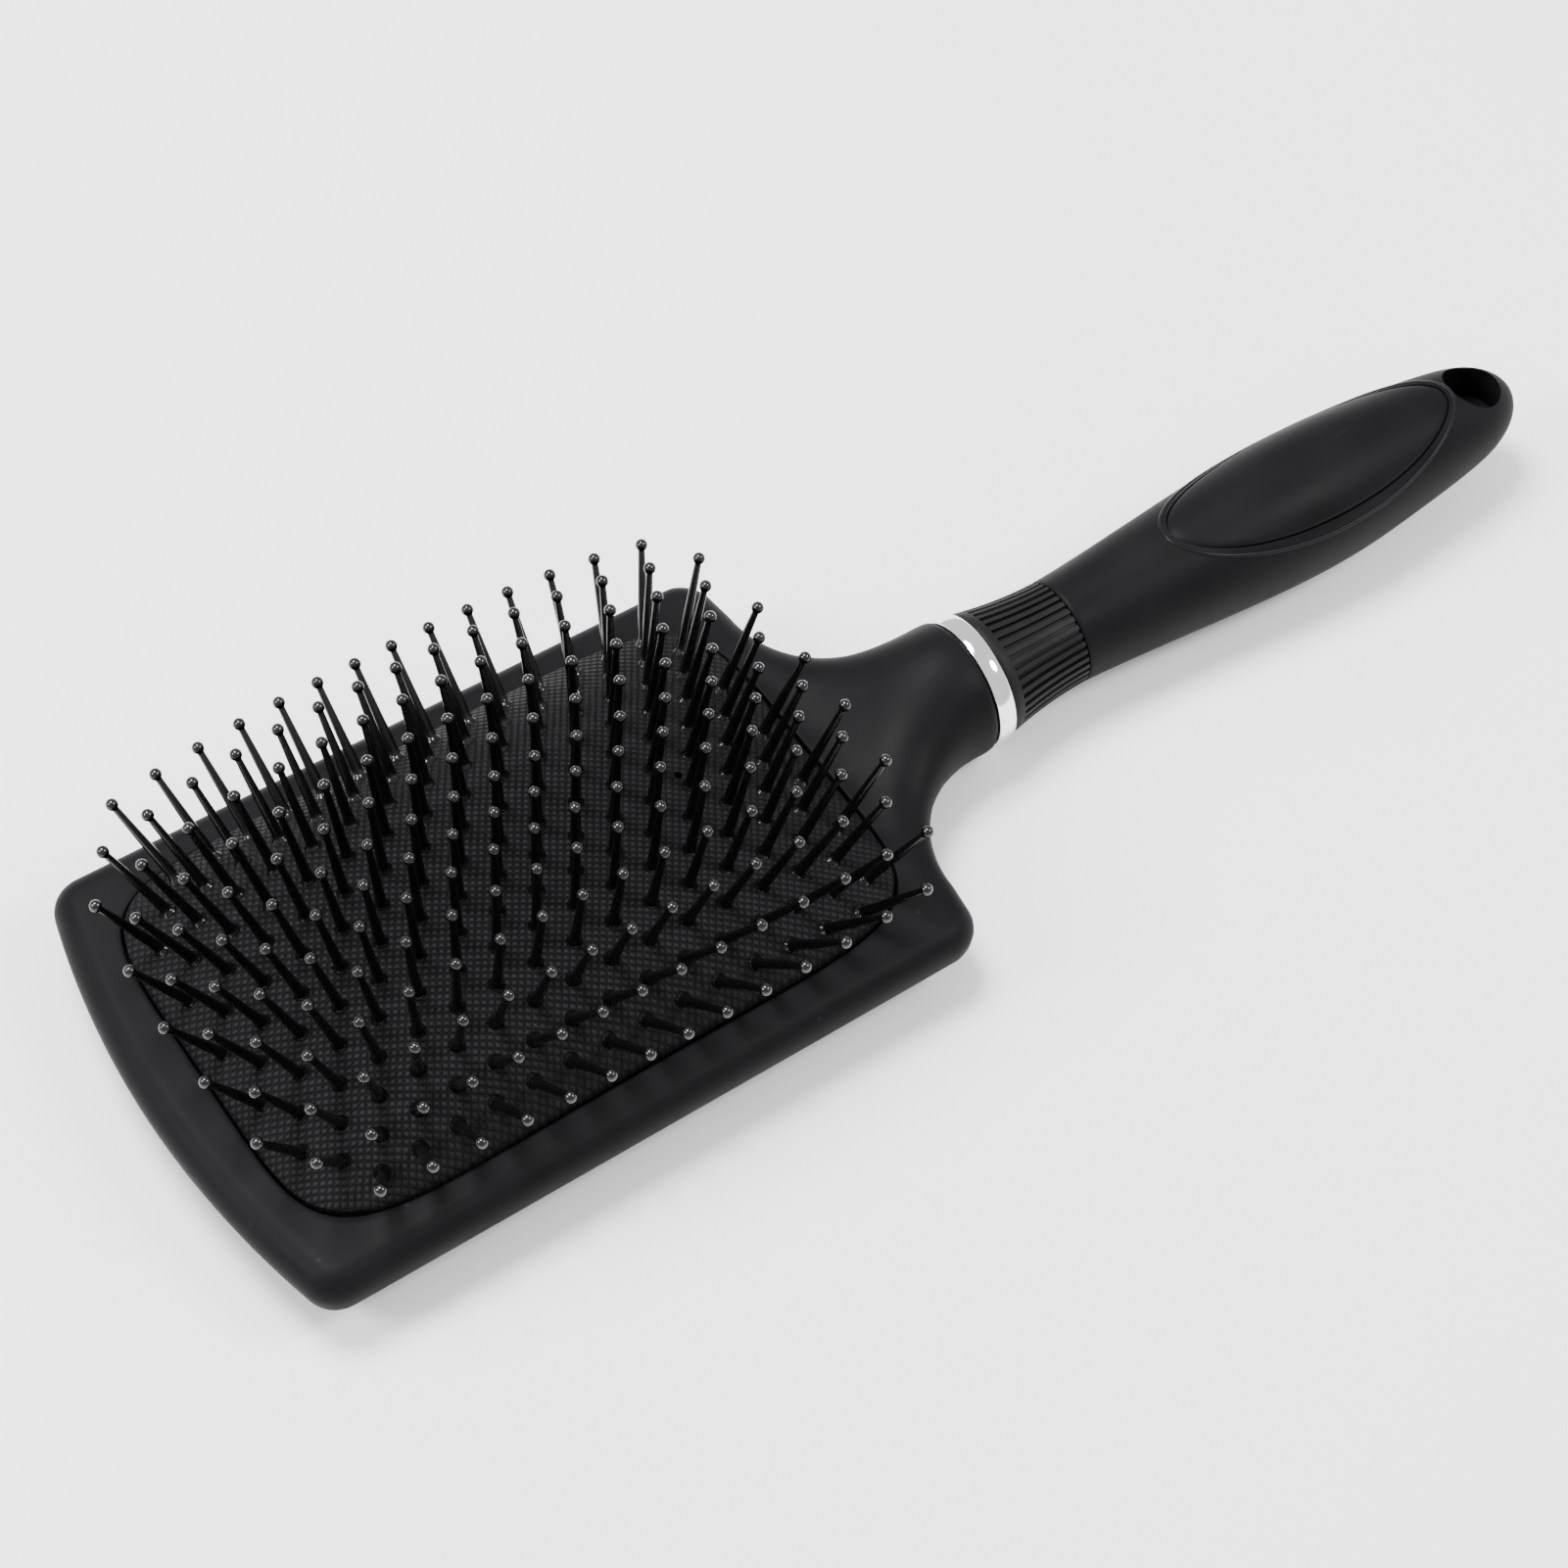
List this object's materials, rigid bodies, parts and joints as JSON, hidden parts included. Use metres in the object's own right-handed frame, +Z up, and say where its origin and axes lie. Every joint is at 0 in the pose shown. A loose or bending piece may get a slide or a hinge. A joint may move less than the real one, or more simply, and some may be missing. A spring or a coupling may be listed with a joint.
{
  "type": "hair_brush_paddle",
  "caption": "Black cushioned paddle hair brush with ball-tipped pins, a chrome band and a grooved rubber collar at the neck, and a turned handle with a hanging recess.",
  "frame": {"origin": "centre of the bounding box in plan, on the plane the brush's flat back lies on", "axes": "+X from the head towards the handle's tip, +Y across the head, +Z up out of the bristle side"},
  "size_m": [0.2442, 0.081, 0.0399],
  "materials": {
    "soft_black": "matte",
    "pin_black": "gloss",
    "black_rubber": "matte",
    "chrome": "gloss"
  },
  "bodies": {
    "brush_body": {"paddle_head": "soft_black", "cushion_frame": "soft_black", "chrome_ring": "chrome", "grooved_collar": "black_rubber", "handle_shell": "soft_black", "thumb_pad": "soft_black"},
    "cushion": {"cushion_pad": "black_rubber", "bristle_row_01": "pin_black", "bristle_row_02": "pin_black", "bristle_row_03": "pin_black", "bristle_row_04": "pin_black", "bristle_row_05": "pin_black", "bristle_row_06": "pin_black", "bristle_row_07": "pin_black", "bristle_row_08": "pin_black", "bristle_row_09": "pin_black", "bristle_row_10": "pin_black", "bristle_row_11": "pin_black", "bristle_row_12": "pin_black", "bristle_row_13": "pin_black"}
  },
  "joints": [
    {"name": "cushion_press", "type": "slide", "parent": "brush_body", "child": "cushion", "axis": [0, 0, -1], "range_m": [0, 0.0025], "stiffness_N_per_m": 3000, "deforming": ["cushion_pad"]}
  ]
}
